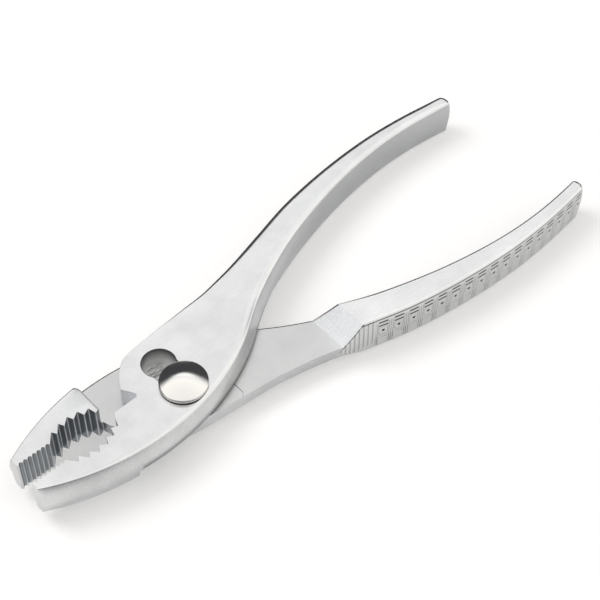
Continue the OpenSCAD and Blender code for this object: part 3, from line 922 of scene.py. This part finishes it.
def swung(line, angle):
    """The same points, turned about the pivot."""
    c, s = math.cos(angle), math.sin(angle)
    return [(x * c - y * s, x * s + y * c) for x, y in line]


def slot_outline(grow):
    """The slot's two rounds and channel in plan, larger all round by grow."""
    r, half = position_r + grow, channel_half + grow
    turn = math.acos(half / r)
    line = [(shift + r * math.cos(a), r * math.sin(a))
            for a in np.linspace(-math.pi / 2 - turn, math.pi / 2 + turn, 60)]
    line += [(r * math.cos(a), r * math.sin(a))
             for a in np.linspace(math.pi / 2 - turn, 3 * math.pi / 2 + turn, 60)]
    way = math.atan2(-slot_way[1], slot_way[0])
    return [(x, slot_way[1] + y) for x, y in swung(line, way)]


slotted_half = forging("slotted_half_forging", slotted_handle_reach, True)
for finish in forging_finishes:
    slotted_half.data.materials.append(finish)
stamped(slotted_half, stamping, stamping_sizes | {
    "Ramp Foot": ramp_behind, "Ramp Height": lap_z - handle_z,
    "Ramp Slope": -0.981, "Ramp Scale": -0.714})
broken = slot_outline(0.5)
machined(slotted_half, [
    prism("lap", straight(lap_profile(True), -wide, wide), milled_flat, "y"),
    prism("ramp", straight(ramp_profile(True), -wide, wide), cast, "y"),
    prism("corner", straight(step_corner(), -1, lap_z), forged),
    prism("slot", [(lap_z - 2, slot_outline(0)), (top_z - 0.15, slot_outline(0)),
                   (top_z + 0.35, broken), (top_z + 2, broken)], slot_wall),
])
mirrored_across = Matrix.Diagonal((1, -1, 1, 1))
slotted_half.data.transform(Matrix.Translation((0, slot_way[1], 0)) @ mirrored_across)
slotted_half.data.flip_normals()
in_metres(slotted_half)
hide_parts("slotted_half")
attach(slotted_half, "slotted_half")

# Pivot bolt: turned in steel with a domed head, two flats below it that fit the slot's
# channel and a round shank. The head is polished and nickel plated, brighter than the rest.
head_r, rim_h, dome_h, rim_edge = 6.0, 1.3, 1.8, 0.3
neck_r, neck_flat = 4.15, 3.5


def turned(name, profile, count=128):
    """A closed solid of revolution; the profile runs outside, from the lower end to the upper."""
    mesh = bpy.data.meshes.new(name)
    work = bmesh.new()
    rings = []
    for r, z in profile:
        around = circle(r, count) if r > 1e-6 else [(0, 0)]
        rings.append([work.verts.new((x, y, z)) for x, y in around])
    for a, b in zip(rings, rings[1:]):
        for k in range(count):
            m = (k + 1) % count
            if len(a) == 1:
                work.faces.new((a[0], b[m], b[k]))
            elif len(b) == 1:
                work.faces.new((a[k], a[m], b[0]))
            else:
                work.faces.new((a[k], a[m], b[m], b[k]))
    bmesh.ops.recalc_face_normals(work, faces=work.faces)
    work.to_mesh(mesh)
    work.free()
    return in_scene(name, mesh)


# The head from its underside up: the rim with a groove under its rounded edge, and the dome.
head_z = top_z + run_gap
rim_z = head_z + rim_h
dome_z = rim_z + dome_h
groove_z = rim_z - rim_edge
blunt = 0.6
full_fall = math.hypot(1, blunt) - blunt
dome_slope = dome_h / (head_r - rim_edge) / full_fall / math.hypot(1, blunt)
dome_half = math.atan(dome_slope)
head_profile = [(0, head_z), (head_r - 0.4, head_z), (head_r - 0.3, head_z + 0.2),
                (head_r, head_z + 0.4), (head_r, groove_z - 0.24), (head_r - 0.13, groove_z - 0.1),
                (head_r - 0.02, groove_z)]
head_profile += [(head_r - rim_edge * (1 - math.cos(a)), rim_z - rim_edge * (1 - math.sin(a)))
                 for a in np.linspace(0, math.pi / 2 - dome_half, 7)[1:]]
start_r, start_z = head_profile[-1]
for share in np.linspace(1, 0, 30)[1:]:
    fallen = (math.hypot(share, blunt) - blunt) / full_fall
    head_profile.append((start_r * share, dome_z - (dome_z - start_z) * fallen))
pivot_bolt = turned("bolt_head_and_shank", head_profile)

# The neck with its flats, and the shank with its rounded end.
flat = math.asin(neck_flat / neck_r)
neck_line = [(neck_r * math.cos(a), neck_r * math.sin(a))
             for start in (-flat, math.pi - flat) for a in np.linspace(start, start + 2 * flat, 24)]
neck = prism("neck", straight(swung(neck_line, slot_angle), lap_z + run_gap, head_z + 0.4))
shank = turned("shank", [
    (0, 0.25), (0.5, 0.1), (bolt_r - 1.0, 0.05), (bolt_r - 0.45, 0.0), (bolt_r, 0.45),
    (bolt_r, lap_z + 1), (0, lap_z + 1)], 96)
machined(pivot_bolt, [neck, shank], "UNION")
# Painted shade in two bands: under the head's lower edge and in the groove below the rim.
polished = plated("polished_nickel", (0.90, 0.885, 0.86), roughness=0.13, mottle=0.03, grain=0.008,
                  grain_size=1.5, grime=((0.0123, 0.01288), (0.01322, 0.01345)))
pivot_bolt.data.materials.clear()
pivot_bolt.data.materials.append(polished)
pivot_bolt.data.polygons.foreach_set("material_index", [0] * len(pivot_bolt.data.polygons))
in_metres(pivot_bolt)
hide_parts("pivot_bolt")
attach(pivot_bolt, "pivot")

# Pivot nut: a thin hexagon on the bolt's end under the lower half, nickel plated, its
# corners turned off on both faces and its bore countersunk where the bolt comes through.
nut_h, nut_flats = 2.55, 11.0
bore_r, mouth_r = bolt_r + 0.03, bolt_r + 0.35
nut_corner = nut_flats / 2 / math.cos(math.pi / 6)
sixth = math.pi / 3
hexagon = [(nut_corner * math.cos(sixth * k), nut_corner * math.sin(sixth * k)) for k in range(6)]
nut_line = [(a[0] + (b[0] - a[0]) * t, a[1] + (b[1] - a[1]) * t)
            for a, b in zip(hexagon, hexagon[1:] + hexagon[:1]) for t in np.linspace(0, 1, 13)[:-1]]
pivot_nut = prism("nut", straight(nut_line, 0, nut_h))
face_r, outer_r = nut_flats / 2 - 0.1, nut_corner + 0.35
corners_off = turned("corners", [
    (0, -0.01), (face_r, -0.01), (outer_r, 0.52),
    (outer_r, nut_h - 0.45), (face_r, nut_h + 0.01), (0, nut_h + 0.01)], 96)
machined(pivot_nut, [corners_off], "INTERSECT")
bore = turned("bore", [
    (0, -1), (mouth_r, -1), (mouth_r, 0.0),
    (bore_r, 0.33), (bore_r, nut_h + 1), (0, nut_h + 1)], 96)
machined(pivot_nut, [bore])
pivot_nut.data.materials.append(plated(
    "nut_nickel", (0.70, 0.70, 0.69), roughness=0.26, mottle=0.04, grain=0.06, pitting=0.05))
in_metres(pivot_nut)
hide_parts("pivot_nut")
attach(pivot_nut, "pivot")
